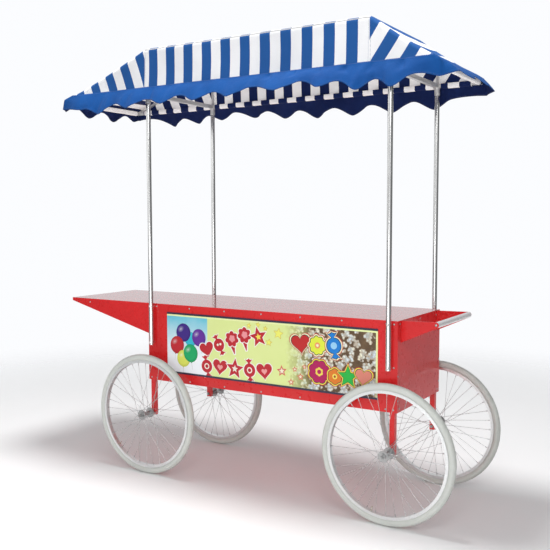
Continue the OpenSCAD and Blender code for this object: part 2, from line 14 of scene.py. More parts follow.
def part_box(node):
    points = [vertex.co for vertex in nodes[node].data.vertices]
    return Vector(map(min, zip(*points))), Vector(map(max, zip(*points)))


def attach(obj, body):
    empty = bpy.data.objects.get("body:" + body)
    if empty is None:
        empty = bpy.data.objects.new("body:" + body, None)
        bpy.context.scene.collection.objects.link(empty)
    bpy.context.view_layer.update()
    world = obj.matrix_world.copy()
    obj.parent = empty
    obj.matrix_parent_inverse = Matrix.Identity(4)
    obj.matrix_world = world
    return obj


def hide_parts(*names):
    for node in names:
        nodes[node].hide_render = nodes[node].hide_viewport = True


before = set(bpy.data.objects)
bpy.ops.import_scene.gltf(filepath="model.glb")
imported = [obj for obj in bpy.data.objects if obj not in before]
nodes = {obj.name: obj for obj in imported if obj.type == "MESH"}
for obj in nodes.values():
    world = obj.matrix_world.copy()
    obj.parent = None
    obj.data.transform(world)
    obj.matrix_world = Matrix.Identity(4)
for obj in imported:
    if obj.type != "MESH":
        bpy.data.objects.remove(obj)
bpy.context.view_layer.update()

TAU = 2 * math.pi


# ---- node helpers


class Nodes:
    """A node tree filled by short calls. Values passed between calls are sockets, numbers or colours."""

    def __init__(self, tree):
        self.tree = tree

    def put(self, socket, value):
        if isinstance(value, bpy.types.NodeSocket):
            self.tree.links.new(value, socket)
        elif isinstance(value, (tuple, list)) and len(socket.default_value) == 4:
            socket.default_value = (*value[:3], 1.0)
        else:
            socket.default_value = value

    def node(self, kind, inputs, output=0, **props):
        made = self.tree.nodes.new("ShaderNode" + kind)
        for key, value in props.items():
            setattr(made, key, value)
        for key, value in inputs.items():
            self.put(made.inputs[key], value)
        return made.outputs[output]

    def place(self):
        return self.node("TexCoord", {}, "Object")

    def uv(self):
        return self.node("UVMap", {}, 0, uv_map="UVMap")

    def attribute(self, name, output="Fac"):
        return self.node("Attribute", {}, output, attribute_name=name)

    def axes(self, vector):
        made = self.tree.nodes.new("ShaderNodeSeparateXYZ")
        self.put(made.inputs[0], vector)
        return made.outputs[0], made.outputs[1], made.outputs[2]

    def join(self, x, y, z=0.0):
        return self.node("CombineXYZ", {0: x, 1: y, 2: z})

    def scaled(self, vector, scale):
        return self.node("VectorMath", {0: vector, 1: scale}, operation="MULTIPLY")

    def math(self, operation, a, b=0.0):
        return self.node("Math", {0: a, 1: b}, operation=operation)

    def times(self, first, *others):
        """The product of values."""
        for other in others:
            first = self.math("MULTIPLY", first, other)
        return first

    def noise(self, vector, scale, detail=2.0, roughness=0.5, output="Fac"):
        inputs = {"Vector": vector, "Scale": scale, "Detail": detail, "Roughness": roughness}
        return self.node("TexNoise", inputs, output)

    def voronoi(self, vector, scale):
        return self.node("TexVoronoi", {"Vector": vector, "Scale": scale}, "Distance")

    def mapped(self, value, low, high, to_low=0.0, to_high=1.0, smooth=False):
        kind = "SMOOTHSTEP" if smooth else "LINEAR"
        inputs = {"Value": value, "From Min": low, "From Max": high, "To Min": to_low, "To Max": to_high}
        return self.node("MapRange", inputs, interpolation_type=kind)

    def mix(self, factor, a, b, blend="MIX"):
        made = self.tree.nodes.new("ShaderNodeMix")
        made.data_type = "RGBA"
        made.blend_type = blend
        for index, value in ((0, factor), (6, a), (7, b)):
            self.put(made.inputs[index], value)
        return made.outputs[2]

    def shaded(self, colour, shade):
        """The colour multiplied by one value."""
        return self.mix(1.0, colour, self.join(shade, shade, shade), "MULTIPLY")

    def bump(self, height, distance, strength=1.0, normal=None):
        inputs = {"Height": height, "Distance": distance, "Strength": strength}
        if normal is not None:
            inputs["Normal"] = normal
        return self.node("Bump", inputs)


class Shader(Nodes):
    """A material with one Principled shader."""

    def __init__(self, name, **inputs):
        self.material = bpy.data.materials.new(name)
        self.material.use_nodes = True
        super().__init__(self.material.node_tree)
        self.tree.nodes.clear()
        self.output = self.tree.nodes.new("ShaderNodeOutputMaterial")
        self.bsdf = self.tree.nodes.new("ShaderNodeBsdfPrincipled")
        self.put(self.output.inputs["Surface"], self.bsdf.outputs["BSDF"])
        for key, value in inputs.items():
            self.set(key.replace("_", " "), value)

    def set(self, name, value):
        names = {s.name.lower(): s for s in self.bsdf.inputs}
        self.put(names[name.lower()], value)


# ---- materials


# Dust on the paint fades in from the first height down to the second.
DUST_HEIGHTS = (0.62, 0.34)


def red_paint():
    """Glossy red enamel on sheet steel: faint waves, slow changes of tone and a little dust low down.

    Faces that look up get a stronger coat. This is painted sheen that stands in for the glare of the light on
    the tops.
    """
    s = Shader("red_enamel", coat_roughness=0.07, coat_ior=1.5, specular_ior_level=0.25)
    upward = s.axes(s.node("NewGeometry", {}, "Normal"))[2]
    # Painted sheen: the coat grows on faces that look up, so the tops shine as if in glare.
    s.set("Coat Weight", s.mapped(upward, 0.7, 0.95, 0.33, 0.90))
    p = s.place()
    tone = s.mapped(s.noise(p, 2.4, 3.0), 0.3, 0.7)
    base = s.mix(tone, (0.60, 0.013, 0.015), (0.70, 0.019, 0.021))
    low = s.mapped(s.axes(p)[2], *DUST_HEIGHTS)
    grime = s.mapped(s.noise(p, 14.0, 5.0, 0.6), 0.52, 0.72)
    dust = s.times(low, grime, 0.18)
    s.set("Base Color", s.mix(dust, base, (0.42, 0.20, 0.16)))
    smudge = s.mapped(s.noise(p, 34.0, 4.0, 0.6), 0.35, 0.7)
    s.set("Roughness", s.mapped(smudge, 0.0, 1.0, 0.26, 0.34))
    wave = s.bump(s.noise(p, 6.0, 1.0), 0.0012, 0.12)
    s.set("Normal", s.bump(s.noise(p, 150.0, 1.0), 0.0001, 0.04, wave))
    return s.material


def metal(name, colour, rough, streak, scale, metallic=1.0):
    """Brushed or drawn metal. The streaks run along the axis whose scale is smallest."""
    s = Shader(name, metallic=metallic)
    p = s.place()
    lines = s.noise(s.scaled(p, scale), 1.0, 3.0, 0.6)
    cloud = s.noise(p, 9.0, 3.0)
    dark = tuple(0.82 * c for c in colour)
    tone = s.mapped(s.math("ADD", lines, s.times(cloud, 0.6)), 0.5, 1.1)
    s.set("Base Color", s.mix(tone, dark, colour))
    s.set("Roughness", s.mapped(lines, 0.3, 0.7, rough, rough + streak))
    s.set("Normal", s.bump(lines, 0.0002, 0.35))
    return s.material


def tyre_rubber():
    """Pale grey rubber, a little dirtier on the tread than on the sidewalls."""
    s = Shader("pale_tyre_rubber", roughness=0.62, specular_ior_level=0.35)
    p = s.place()
    v = s.axes(s.uv())[1]
    crown = s.mapped(s.math("ABSOLUTE", v), 0.010, 0.026, 1.0, 0.0, True)
    patchy = s.mapped(s.noise(p, 26.0, 4.0, 0.6), 0.35, 0.7)
    clean = s.mix(s.noise(p, 5.0), (0.54, 0.56, 0.53), (0.62, 0.64, 0.60))
    dirt = s.times(crown, patchy, 0.45)
    s.set("Base Color", s.mix(dirt, clean, (0.36, 0.36, 0.34)))
    s.set("Roughness", s.mapped(patchy, 0.0, 1.0, 0.52, 0.72))
    ribs = s.math("SINE", s.times(v, TAU / 0.0017))
    side = s.mapped(s.math("ABSOLUTE", v), 0.024, 0.028, 0.0, 1.0, True)
    moulded = s.bump(s.times(ribs, side), 0.00025, 0.5)
    s.set("Normal", s.bump(s.noise(p, 420.0, 2.0), 0.0002, 0.3, moulded))
    return s.material


def black_plastic():
    s = Shader("black_moulded_plastic", roughness=0.45)
    p = s.place()
    s.set("Base Color", s.mix(s.noise(p, 40.0), (0.010, 0.010, 0.011), (0.024, 0.024, 0.026)))
    s.set("Roughness", s.mapped(s.noise(p, 90.0, 3.0), 0.3, 0.7, 0.36, 0.52))
    s.set("Normal", s.bump(s.noise(p, 1400.0, 1.0), 0.0001, 0.6))
    return s.material


def navy_trim():
    s = Shader("navy_extrusion", coat_weight=0.3, coat_roughness=0.15)
    p = s.place()
    lines = s.noise(s.scaled(p, (3.0, 900.0, 900.0)), 1.0, 2.0)
    s.set("Base Color", s.mix(lines, (0.010, 0.008, 0.030), (0.022, 0.018, 0.055)))
    s.set("Roughness", s.mapped(lines, 0.3, 0.7, 0.28, 0.42))
    s.set("Normal", s.bump(lines, 0.0001, 0.4))
    return s.material


# Width of a blue and a white stripe together, of a woven thread pair and of a stitch with its gap.
STRIPE_PITCH, THREAD_PITCH, STITCH_PITCH = 0.1176, 0.0016, 0.0055
# How far the row of stitches runs from a seam, half its width, and the doubled cloth's edge.
STITCH_INSET, STITCH_HALF_WIDTH, FELL_WIDTH = 0.005, 0.0008, 0.0095


def cloth(name, stripes, first, second, glow=0.0):
    """Woven awning cloth, striped or plain.

    UVs are metres across and along the stripes, and "seam" is the distance to a seam. The glow stands for the
    daylight that comes through the cloth to its inner face.
    """
    s = Shader(name, sheen_weight=0.03, sheen_roughness=0.5, specular_ior_level=0.14)
    p = s.place()
    uv = s.uv()
    u, v, _ = s.axes(uv)
    fade = s.mapped(s.noise(p, 3.0, 3.0), 0.3, 0.7, 0.90, 1.06)
    if stripes:
        ragged = s.times(s.math("SUBTRACT", s.noise(uv, 900.0, 1.0), 0.5), 0.0012)
        share = s.math("FRACT", s.math("DIVIDE", s.math("ADD", u, ragged), STRIPE_PITCH))
        colour = s.mix(s.math("LESS_THAN", share, 0.5), second, first)
    else:
        colour = s.mix(s.mapped(s.noise(p, 7.0, 4.0, 0.6), 0.3, 0.7), first, second)
    colour = s.shaded(colour, fade)
    warp = s.math("SINE", s.times(u, TAU / THREAD_PITCH))
    weft = s.math("SINE", s.times(v, TAU / THREAD_PITCH))
    weave = s.times(warp, weft)
    slub = s.noise(s.scaled(uv, (1.0, 30.0, 1.0)), 24.0, 2.0)
    shade = s.mapped(s.math("ADD", weave, slub), -1.0, 2.0, 0.93, 1.03)
    colour = s.shaded(colour, shade)
    seam = s.attribute("seam")
    off_row = s.math("ABSOLUTE", s.math("SUBTRACT", seam, STITCH_INSET))
    row = s.math("LESS_THAN", off_row, STITCH_HALF_WIDTH)
    stitch_share = s.math("FRACT", s.math("DIVIDE", s.math("ADD", u, v), STITCH_PITCH))
    stitch = s.times(row, s.math("LESS_THAN", stitch_share, 0.68))
    thread_colour = tuple(0.55 * c + 0.10 for c in first)
    colour = s.mix(s.times(stitch, 0.7), colour, thread_colour)
    # Painted light: the cloth glows in its own colour by the given amount.
    for socket in ("Base Color", "Emission Color"):
        s.set(socket, colour)
    s.set("Emission Strength", glow)
    s.set("Roughness", s.mapped(slub, 0.3, 0.7, 0.74, 0.90))
    creases = s.noise(s.scaled(p, (1.0, 1.0, 0.55)), 16.0, 3.0, 0.55)
    soft = s.bump(creases, 0.010, 0.16 if stripes else 0.34)
    rumple = s.bump(s.noise(p, 55.0, 3.0, 0.5), 0.0028, 0.20, soft)
    doubled = s.mapped(seam, FELL_WIDTH - 0.001, FELL_WIDTH + 0.001, 1.0, 0.0)
    felled = s.bump(doubled, 0.0010, 0.5, rumple)
    sewn = s.bump(stitch, 0.0006, -0.6, felled)
    s.set("Normal", s.bump(weave, 0.00022, 0.35, sewn))
    return s.material


RED = red_paint()
STAINLESS = metal("polished_stainless", (0.76, 0.76, 0.75), 0.12, 0.10, (160.0, 160.0, 2.0))
GRIP_STEEL = metal("grip_stainless", (0.90, 0.88, 0.88), 0.24, 0.10, (160.0, 2.0, 160.0), metallic=0.7)
ZINC = metal("zinc_plate", (0.44, 0.44, 0.44), 0.28, 0.16, (90.0, 90.0, 90.0))
ALLOY = metal("satin_aluminium", (0.76, 0.76, 0.75), 0.38, 0.14, (120.0, 6.0, 120.0), metallic=0.75)
RAIL_ALLOY = metal("satin_aluminium_along", (0.76, 0.76, 0.75), 0.38, 0.14, (6.0, 120.0, 120.0),
                   metallic=0.75)
RIM_ALLOY = metal("rim_aluminium", (0.78, 0.79, 0.79), 0.30, 0.14, (150.0, 20.0, 150.0), metallic=0.85)
SPOKE_STEEL = metal("spoke_wire", (0.52, 0.52, 0.52), 0.24, 0.10, (60.0, 60.0, 60.0))
BRASS = metal("valve_brass", (0.62, 0.58, 0.50), 0.25, 0.12, (200.0, 200.0, 200.0))
RUBBER = tyre_rubber()
PLASTIC = black_plastic()
NAVY = navy_trim()
BLUE = (0.020, 0.105, 0.345)
WHITE = (0.95, 0.95, 0.96)
NAVY_BACK = (0.006, 0.015, 0.075)
WHITE_BACK = (0.93, 0.91, 0.90)
STRIPED = cloth("striped_canvas", True, BLUE, WHITE)
BORDER = cloth("blue_canvas", False, (0.003, 0.064, 0.262), (0.006, 0.088, 0.335))
# The lining glows with painted light that stands in for the light coming through the cloth.
STRIPED_BACK = cloth("striped_canvas_back", True, NAVY_BACK, WHITE_BACK, glow=0.20)
BORDER_BACK = cloth("navy_canvas_back", False, (0.006, 0.016, 0.085), (0.009, 0.023, 0.110))


# ---- mesh helpers


def mesh_of(bm, name, material):
    """Turns a closed bmesh into a mesh of one material."""
    bmesh.ops.recalc_face_normals(bm, faces=bm.faces)
    mesh = bpy.data.meshes.new(name)
    bm.to_mesh(mesh)
    bm.free()
    mesh.materials.append(material)
    return mesh


def placed(name, data):
    """A new object in the scene."""
    made = bpy.data.objects.new(name, data)
    bpy.context.scene.collection.objects.link(made)
    return made


def new_object(name, mesh, body="cart", smooth=True):
    """An object at the frame's origin that rides on a CAD body."""
    made = placed(name, mesh)
    if smooth:
        mesh.polygons.foreach_set("use_smooth", [True] * len(mesh.polygons))
    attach(made, body)
    return made


def grid_faces(rows, columns, wrap_rows=False, wrap_columns=False):
    """Quads of a grid whose vertex (row, column) has the index row * columns + column."""
    row = np.arange(rows if wrap_rows else rows - 1)
    column = np.arange(columns if wrap_columns else columns - 1)
    a, b = np.meshgrid(row, column, indexing="ij")
    a2, b2 = (a + 1) % rows, (b + 1) % columns
    corners = [a * columns + b, a * columns + b2, a2 * columns + b2, a2 * columns + b]
    return np.stack([c.ravel() for c in corners], 1)


def stations(stops, step):
    """Values that pass through every stop, about one step apart."""
    values = [stops[0]]
    for start, end in zip(stops, stops[1:]):
        count = max(1, round((end - start) / step))
        values += [start + (end - start) * (k + 1) / count for k in range(count)]
    return np.array(values)


def smooth_step(value):
    value = np.clip(value, 0.0, 1.0)
    return value * value * (3 - 2 * value)


def smooth_min(a, b, width):
    share = np.clip(0.5 + 0.5 * (b - a) / width, 0.0, 1.0)
    return b * (1 - share) + a * share - width * share * (1 - share)


def wobble(x, y, z):
    """Smooth noise between about -1 and 1, the same on every run."""
    return noise.noise(Vector((x, y, z)))


def make_turned(name, origin, along, profile, body, material, segments=20):
    """A turned part from (distance along the axis, radius) pairs."""
    side = along.orthogonal().normalized()
    other = along.cross(side)
    bm = bmesh.new()
    rings = []
    for distance, radius in profile:
        if radius == 0:
            rings.append([bm.verts.new(origin + along * distance)])
            continue
        ring = []
        for k in range(segments):
            a = TAU * k / segments
            out = (side * math.cos(a) + other * math.sin(a)) * radius
            ring.append(bm.verts.new(origin + along * distance + out))
        rings.append(ring)
    for first, second in zip(rings, rings[1:]):
        for k in range(segments):
            n = (k + 1) % segments
            corners = [first[k % len(first)], first[n % len(first)]]
            corners += [second[n % len(second)], second[k % len(second)]]
            bm.faces.new(list(dict.fromkeys(corners)))
    made = new_object(name, mesh_of(bm, name, material), body)
    made.modifiers.new("edges", "EDGE_SPLIT").split_angle = math.radians(40)


# ---- canopy

# The eave and the flat roof: x at the nose end and at the handle end, half the depth, and height.
EAVE_X0, EAVE_X1, EAVE_Y, EAVE_Z = -1.172, 1.081, 0.3095, 2.083
ROOF_X0, ROOF_X1, ROOF_Y, ROOF_Z = -0.575, 0.747, 0.305, 2.312
RISE = ROOF_Z - EAVE_Z
# Radius with which the cloth folds over a roof edge.
FOLD = 0.026
# Height of the seam between the striped cover and its blue border.
SEAM_Z = EAVE_Z + 0.022
FACE_ROWS, FOLD_ROWS, TOP_ROWS = 26, 6, 34


def end_run(side):
    """Eave x, roof x and angle below level of an end slope: -1 at the nose end, 1 at the handle end."""
    eave_x, roof_x = (EAVE_X0, ROOF_X0) if side < 0 else (EAVE_X1, ROOF_X1)
    return eave_x, roof_x, math.atan2(RISE, abs(eave_x - roof_x))


def roof_line(x):
    """Height of the top of the cover's cross-section at x, softened where the cloth bends over the frame."""
    left = EAVE_Z + (x - EAVE_X0) / (ROOF_X0 - EAVE_X0) * RISE
    right = EAVE_Z + (EAVE_X1 - x) / (EAVE_X1 - ROOF_X1) * RISE
    return smooth_min(smooth_min(left, ROOF_Z, 0.012), right, 0.012)


def seam_x(side):
    """X at which the top of the blue border crosses an end slope."""
    eave_x, roof_x, _ = end_run(side)
    return eave_x + (roof_x - eave_x) * (SEAM_Z - EAVE_Z) / RISE


def face_y(z):
    """Depth of a long face at a height."""
    return EAVE_Y - (z - EAVE_Z) / RISE * (EAVE_Y - ROOF_Y)


def half_section(x):
    """Front half of the cover's section at each x: arrays of y and z from the lower edge to the middle."""
    top = np.maximum(roof_line(x), EAVE_Z)
    low = np.full(len(x), EAVE_Z - 0.012)
    past = np.maximum(np.maximum(seam_x(-1) - x, 0) / 0.057, np.maximum(x - seam_x(1), 0) / 0.032)
    tuck = 0.018 * np.minimum(past, 1.0) ** 2
    bend = np.minimum(FOLD, 0.45 * (top - low))
    ys, zs = [], []
    for k in range(FACE_ROWS + 1):
        z = low + (top - bend - low) * k / FACE_ROWS
        ys.append(tuck - face_y(z))
        zs.append(z)
    y0, z0 = ys[-1], zs[-1]
    for k in range(1, FOLD_ROWS):
        turn = 0.5 * math.pi * k / FOLD_ROWS
        ys.append(y0 + bend * (1 - math.cos(turn)))
        zs.append(z0 + bend * math.sin(turn))
    for k in range(TOP_ROWS + 1):
        ys.append((y0 + bend) * (1 - k / TOP_ROWS))
        zs.append(top)
    return np.stack(ys, 1), np.stack(zs, 1)


def stripe_plan(x, y, z, piece):
    """Metres across and along the stripes.

    The middle cloth (0) has stripes that run up the long faces and over the roof. Each end cloth has stripes
    parallel to Y on its slope, which lean where the cloth folds over the sloping edge onto a long face.
    """
    below = np.maximum(roof_line(x) - z, 0.0)
    rounded = np.where(below < FOLD, below**2 / (2 * FOLD), below - FOLD / 2)
    if piece == 0:
        return x - ROOF_X0 - 0.030, np.sign(y) * (ROOF_Y - np.abs(y) + below)
    _, roof_x, angle = end_run(piece)
    out = np.abs(x - roof_x)
    across = out / math.cos(angle) + rounded * math.sin(angle)
    along = np.sign(y) * (np.abs(y) + below * math.cos(angle))
    return across - (0.0145 if piece < 0 else -0.004), along


def creases(x, y, z):
    """Soft uneven noise over arrays of points."""
    spots = zip(x.ravel(), y.ravel(), z.ravel())
    return np.array([wobble(a * 5.0, b * 9.0, c * 5.0) for a, b, c in spots]).reshape(x.shape)


def sagged_cover(x, y, z):
    """Moves cover points: the cloth dips a little between the tubes that carry it, and is lightly creased."""
    top = np.maximum(roof_line(x), EAVE_Z + 1e-6)
    share = np.clip((z - EAVE_Z) / (top - EAVE_Z), 0.0, 1.0)
    tall = (top - EAVE_Z) / RISE
    upright = smooth_step((top - z) / FOLD)
    cross = np.clip(1 - (y / EAVE_Y) ** 2, 0.0, 1.0)
    middle = np.clip((x - ROOF_X0) / (ROOF_X1 - ROOF_X0), 0.0, 1.0)
    left = np.clip((x - seam_x(-1)) / (ROOF_X0 - seam_x(-1)), 0.0, 1.0)
    right = np.clip((seam_x(1) - x) / (seam_x(1) - ROOF_X1), 0.0, 1.0)
    inner = (x > ROOF_X0) & (x < ROOF_X1)
    end_share = np.sin(math.pi * np.where(x < 0, left, right))
    roof_dip = 0.011 * np.sin(math.pi * middle) ** 0.5 * cross
    dip = np.where(inner, roof_dip, end_share * (0.005 + 0.018 * cross))
    uneven = creases(x, y, z)
    face_in = np.sin(math.pi * share) * tall * (0.0045 + 0.0035 * uneven)
    y = y - np.sign(y) * face_in * upright
    face_dip = upright * end_share * 0.005 * share * (1 - inner)
    return x, y, z - (1 - upright) * dip * (1 + 0.25 * uneven) - face_dip


# The blue border is one strip sewn round the cover at the seam. Its sides are walked from the front left
# corner: front, handle end, rear, nose end.
SIDE_OUT = [Vector((0, -1, 0)), Vector((1, 0, 0)), Vector((0, 1, 0)), Vector((-1, 0, 0))]
TIP_LENGTH, CORNER_LENGTH, SCALLOP_DEPTH = 0.150, 0.118, 0.048
BORDER_ROWS = 17
# At its corners the strip hangs almost straight down. This is how far along each side a corner reaches.
CORNER_LEAN = math.radians(7)
CORNER_WIDTH = (0.110, 0.028, 0.110, 0.090)
# How far each side leans out from upright, in degrees, at places that run from 0 to 1 along it.
LEAN = [
    ((0.0, 0.1, 0.2, 0.35, 0.5, 0.6, 0.75, 0.83, 0.93, 1.0),
     (22, 26, 37, 42, 41, 45, 46, 27, 28, 20)),
    ((0.0, 0.72, 0.92, 1.0), (55, 55, 46, 42)),
    ((0.0, 0.1, 0.3, 0.42, 0.52, 0.62, 0.70, 0.85, 1.0), (10, 9, 14, 17, 30, 45, 49, 40, 30)),
    ((0.0, 0.12, 0.3, 0.7, 0.88, 1.0), (34, 24, 14, 18, 38, 44)),
]
# How far gathering in the strip moves its tongues along a side, as shares of the side.
SHIFT = [
    ((0.0, 0.1, 0.35, 0.55, 0.7, 0.85, 1.0), (0.0, 0.020, 0.035, 0.030, 0.068, 0.045, 0.0)),
    ((0.0, 1.0), (0.0, 0.0)),
    ((0.0, 0.3, 0.75, 1.0), (0.0, 0.022, 0.050, 0.0)),
    ((0.0, 1.0), (0.0, 0.0)),
]


def border_length(side, share):
    """Length of the strip from the seam to its scalloped edge."""
    tongues, reach = (10, 0.6) if side % 2 == 0 else (3, 0.2)
    place = share - float(np.interp(share, *SHIFT[side]))
    near_corner = 1 - smooth_step(min(share, 1 - share) * tongues / reach)
    tip = TIP_LENGTH + (CORNER_LENGTH - TIP_LENGTH) * near_corner
    return tip - SCALLOP_DEPTH * abs(math.sin(math.pi * place * tongues)) ** 1.6


def side_path(side, lean, reach, length):
    """Where a point of the strip stands for one side: how far out and how far down from the seam.

    The end strips lie on the end slope as far as the eave, and only then hang free.
    """
    flat, slope_angle = 0.0, 0.0
    if side % 2:
        _, _, slope_angle = end_run(1 if side == 1 else -1)
        flat = (SEAM_Z - EAVE_Z) / math.sin(slope_angle) + 0.001
    out, down, steps = 0.0, 0.0, 12
    for k in range(steps):
        s = reach * (k + 0.5) / steps
        free = float(smooth_step((s - flat + 0.006) / 0.012)) if flat else 1.0
        hang = lean * (1.25 - 0.5 * s / length)
        angle = hang * free + (0.5 * math.pi - slope_angle) * (1 - free)
        out += reach / steps * math.sin(angle)
        down += reach / steps * math.cos(angle)
    return out, down


def side_folds(side, length):
    """Slanting soft folds of one side as (place, slant, width, height), and tighter tucks under the seam."""
    draw = np.random.default_rng(31 + side)
    folds, tucks, place = [], [], 0.06
    strength = 0.4 if side % 2 else 1.0
    while place < length - 0.05:
        height = strength * draw.uniform(0.005, 0.012)
        height *= 1 if draw.random() < 0.6 else -1
        folds.append((place, draw.uniform(-0.05, 0.05), draw.uniform(0.016, 0.036), height))
        place += draw.uniform(0.055, 0.12)
    place = length * (0.62 if side == 0 else 0.08)
    while place < length - 0.06 and side % 2 == 0:
        tucks.append((place, draw.uniform(0.006, 0.010), draw.uniform(0.008, 0.014)))
        place += draw.uniform(0.105, 0.150)
    return folds, tucks


def ripple(side, along, reach, length, folds, tucks):
    """How far folds lift a point of the strip off its smooth shape."""
    t = reach / length
    lift = 0.006 * t * wobble(along * 7.0, t * 1.5, side * 5.0)
    for place, slant, width, height in folds:
        lift += height * t**0.7 * math.exp(-(((along - place - slant * (1 - t)) / width) ** 2))
    for place, width, depth in tucks:
        spread = width * (1 + 4 * t)
        ends = math.sin(math.pi * min(t / 0.55, 1.0))
        lift -= depth * ends * math.exp(-(((along - place) / spread) ** 2))
    return lift


def border_point(side, along, total, start, reach, folds, tucks):
    """A point of the strip: the side's own lean, which gives way to a hanging corner near each end of it."""
    share = along / total
    length = border_length(side, share)
    lean = math.radians(float(np.interp(share, *LEAN[side])))
    out, down = side_path(side, lean, reach, length)
    clear = 0.0005 + 0.07 * min(reach, 0.035)
    lift = max(ripple(side, along, reach, length, folds, tucks), clear - out)
    shift = SIDE_OUT[side] * (out + lift) - Vector((0, 0, down))
    for edge, distance in ((-1, along), (1, total - along)):
        width = CORNER_WIDTH[side]
        if distance < width:
            other = (side + edge) % 4
            end, face = (side, other) if side % 2 else (other, side)
            out, down = side_path(end, CORNER_LEAN, reach, length)
            hanging = SIDE_OUT[end] * out + SIDE_OUT[face] * (0.12 * reach) - Vector((0, 0, down))
            shift = shift.lerp(hanging, 1 - float(smooth_step(distance / width)))
    return start + shift


def seam_ring():
    """Points just outside the cover along the seam as (side, place along that side, side length, point)."""
    corners = [(seam_x(-1), -1), (seam_x(1), -1), (seam_x(1), 1), (seam_x(-1), 1)]
    y = face_y(SEAM_Z)
    ring = []
    for side in range(4):
        (x0, s0), (x1, s1) = corners[side], corners[(side + 1) % 4]
        total = math.hypot(x1 - x0, (s1 - s0) * y)
        for along in stations([0.0, total], 0.0082)[:-1]:
            t = along / total
            x, depth = x0 + (x1 - x0) * t, (s0 + (s1 - s0) * t) * y
            spot = [np.array([v]) for v in (x, depth, SEAM_Z)]
            rest = Vector([float(v[0]) for v in sagged_cover(*spot)])
            lifted = SIDE_OUT[side] * 0.0012 + Vector((0, 0, 0.0024 if side % 2 else 0.0004))
            ring.append((side, float(along), total, rest + lifted))
    return ring


def add_border(bm, uv_layer, seam_layer):
    """Adds the scalloped strip to the canopy mesh."""
    ring = seam_ring()
    totals = {side: total for side, _, total, _ in ring}
    folds = {side: side_folds(side, totals[side]) for side in range(4)}
    points, uvs = [], []
    for side, along, total, start in ring:
        length = border_length(side, along / total)
        walked = sum(totals[s] for s in range(side)) + along
        for row in range(BORDER_ROWS):
            reach = length * row / (BORDER_ROWS - 1)
            points.append(bm.verts.new(border_point(side, along, total, start, reach, *folds[side])))
            points[-1][seam_layer] = min(reach, length - reach)
            uvs.append((walked, -reach))
    for face in grid_faces(len(ring), BORDER_ROWS, wrap_rows=True):
        made = bm.faces.new([points[k] for k in face])
        made.material_index = 1
        for corner, k in zip(made.loops, face):
            corner[uv_layer].uv = uvs[k]


def build_canopy():
    """The striped cover of three cloths and its blue border, both with their lining side."""
    xs = stations([EAVE_X0, seam_x(-1), ROOF_X0, ROOF_X1, seam_x(1), EAVE_X1], 0.0088)
    half_y, half_z = half_section(xs)
    ys = np.concatenate([half_y, -half_y[:, -2::-1]], 1)
    zs = np.concatenate([half_z, half_z[:, -2::-1]], 1)
    columns, rows = ys.shape
    flat = np.repeat(xs[:, None], rows, 1)
    moved = np.stack(sagged_cover(flat, ys, zs), -1).reshape(-1, 3)
    faces = grid_faces(columns, rows)
    centre_x = flat.ravel()[faces].mean(1)
    plans = [[a.ravel() for a in stripe_plan(flat, ys, zs, piece)] for piece in (-1, 0, 1)]
    seam = np.minimum(np.abs(flat - ROOF_X0), np.abs(flat - ROOF_X1)).ravel()

    mesh = bpy.data.meshes.new("canopy_cloth")
    bm = bmesh.new()
    uv_layer = bm.loops.layers.uv.new("UVMap")
    seam_layer = bm.verts.layers.float.new("seam")
    verts = [bm.verts.new(p) for p in moved]
    for vert, value in zip(verts, seam):
        vert[seam_layer] = value
    for face, x in zip(faces, centre_x):
        made = bm.faces.new([verts[k] for k in face[::-1]])
        across, along = plans[0 if x < ROOF_X0 else 2 if x > ROOF_X1 else 1]
        for corner, k in zip(made.loops, face[::-1]):
            corner[uv_layer].uv = (across[k], along[k])
    bmesh.ops.dissolve_degenerate(bm, edges=bm.edges, dist=1e-5)
    add_border(bm, uv_layer, seam_layer)
    bm.to_mesh(mesh)
    bm.free()
    for material in (STRIPED, BORDER, STRIPED_BACK, BORDER_BACK):
        mesh.materials.append(material)
    cover = new_object("canopy_cloth", mesh)
    solid = cover.modifiers.new("thickness", "SOLIDIFY")
    solid.thickness = 0.0011
    solid.offset = -1.0
    solid.material_offset = 2
    solid.material_offset_rim = 0
    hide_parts("canopy_cover")


def sleeve_outline(low, high):
    """Section of a hem sleeve round a square rail: distance across it and height, with a slack underside."""
    inner, outer = low[0] - 0.0014, high[0] + 0.0012
    top, foot = high[1] + 0.0014, low[1] - 0.0016
    middle = (inner + outer) / 2
    inner_side = [(inner, foot + 0.003), (inner, top - 0.002), (inner + 0.002, top)]
    outer_side = [(outer - 0.002, top), (outer, top - 0.002), (outer, foot + 0.003)]
    underside = [(outer - 0.003, foot - 0.001), (middle, foot - 0.0035), (inner + 0.003, foot - 0.001)]
    return inner_side + outer_side + underside


def add_sleeve(bm, layers, outline, stops, along_y, side):
    """Adds one closed sleeve along X, or along Y for an end rail."""
    uv_layer, seam_layer = layers
    white = 0.75 * STRIPE_PITCH
    places, size = stations(stops, 0.012), len(outline)
    verts = []
    for place in places:
        for across, z in outline:
            slack = smooth_step((EAVE_Z - 0.018 - z) / 0.010)
            across_here = side * (across + 0.0006 * wobble(place * 16.0, z * 40.0, side * 3.0))
            height = z + 0.0018 * slack * wobble(place * 11.0, side * 2.0, 4.0)
            spot = (across_here, place, height) if along_y else (place, across_here, height)
            verts.append(bm.verts.new(spot))
            verts[-1][seam_layer] = 1.0
    for face in grid_faces(len(places), size, wrap_columns=True):
        made = bm.faces.new([verts[k] for k in face])
        for corner, k in zip(made.loops, face):
            x, y, z = verts[k].co
            corner[uv_layer].uv = (white, y + z) if along_y else (x - ROOF_X0 - 0.008, z + y)
    for first in (0, (len(places) - 1) * size):
        cap = bm.faces.new([verts[first + k] for k in range(size)])
        for corner in cap.loops:
            corner[uv_layer].uv = (white, 0.0)


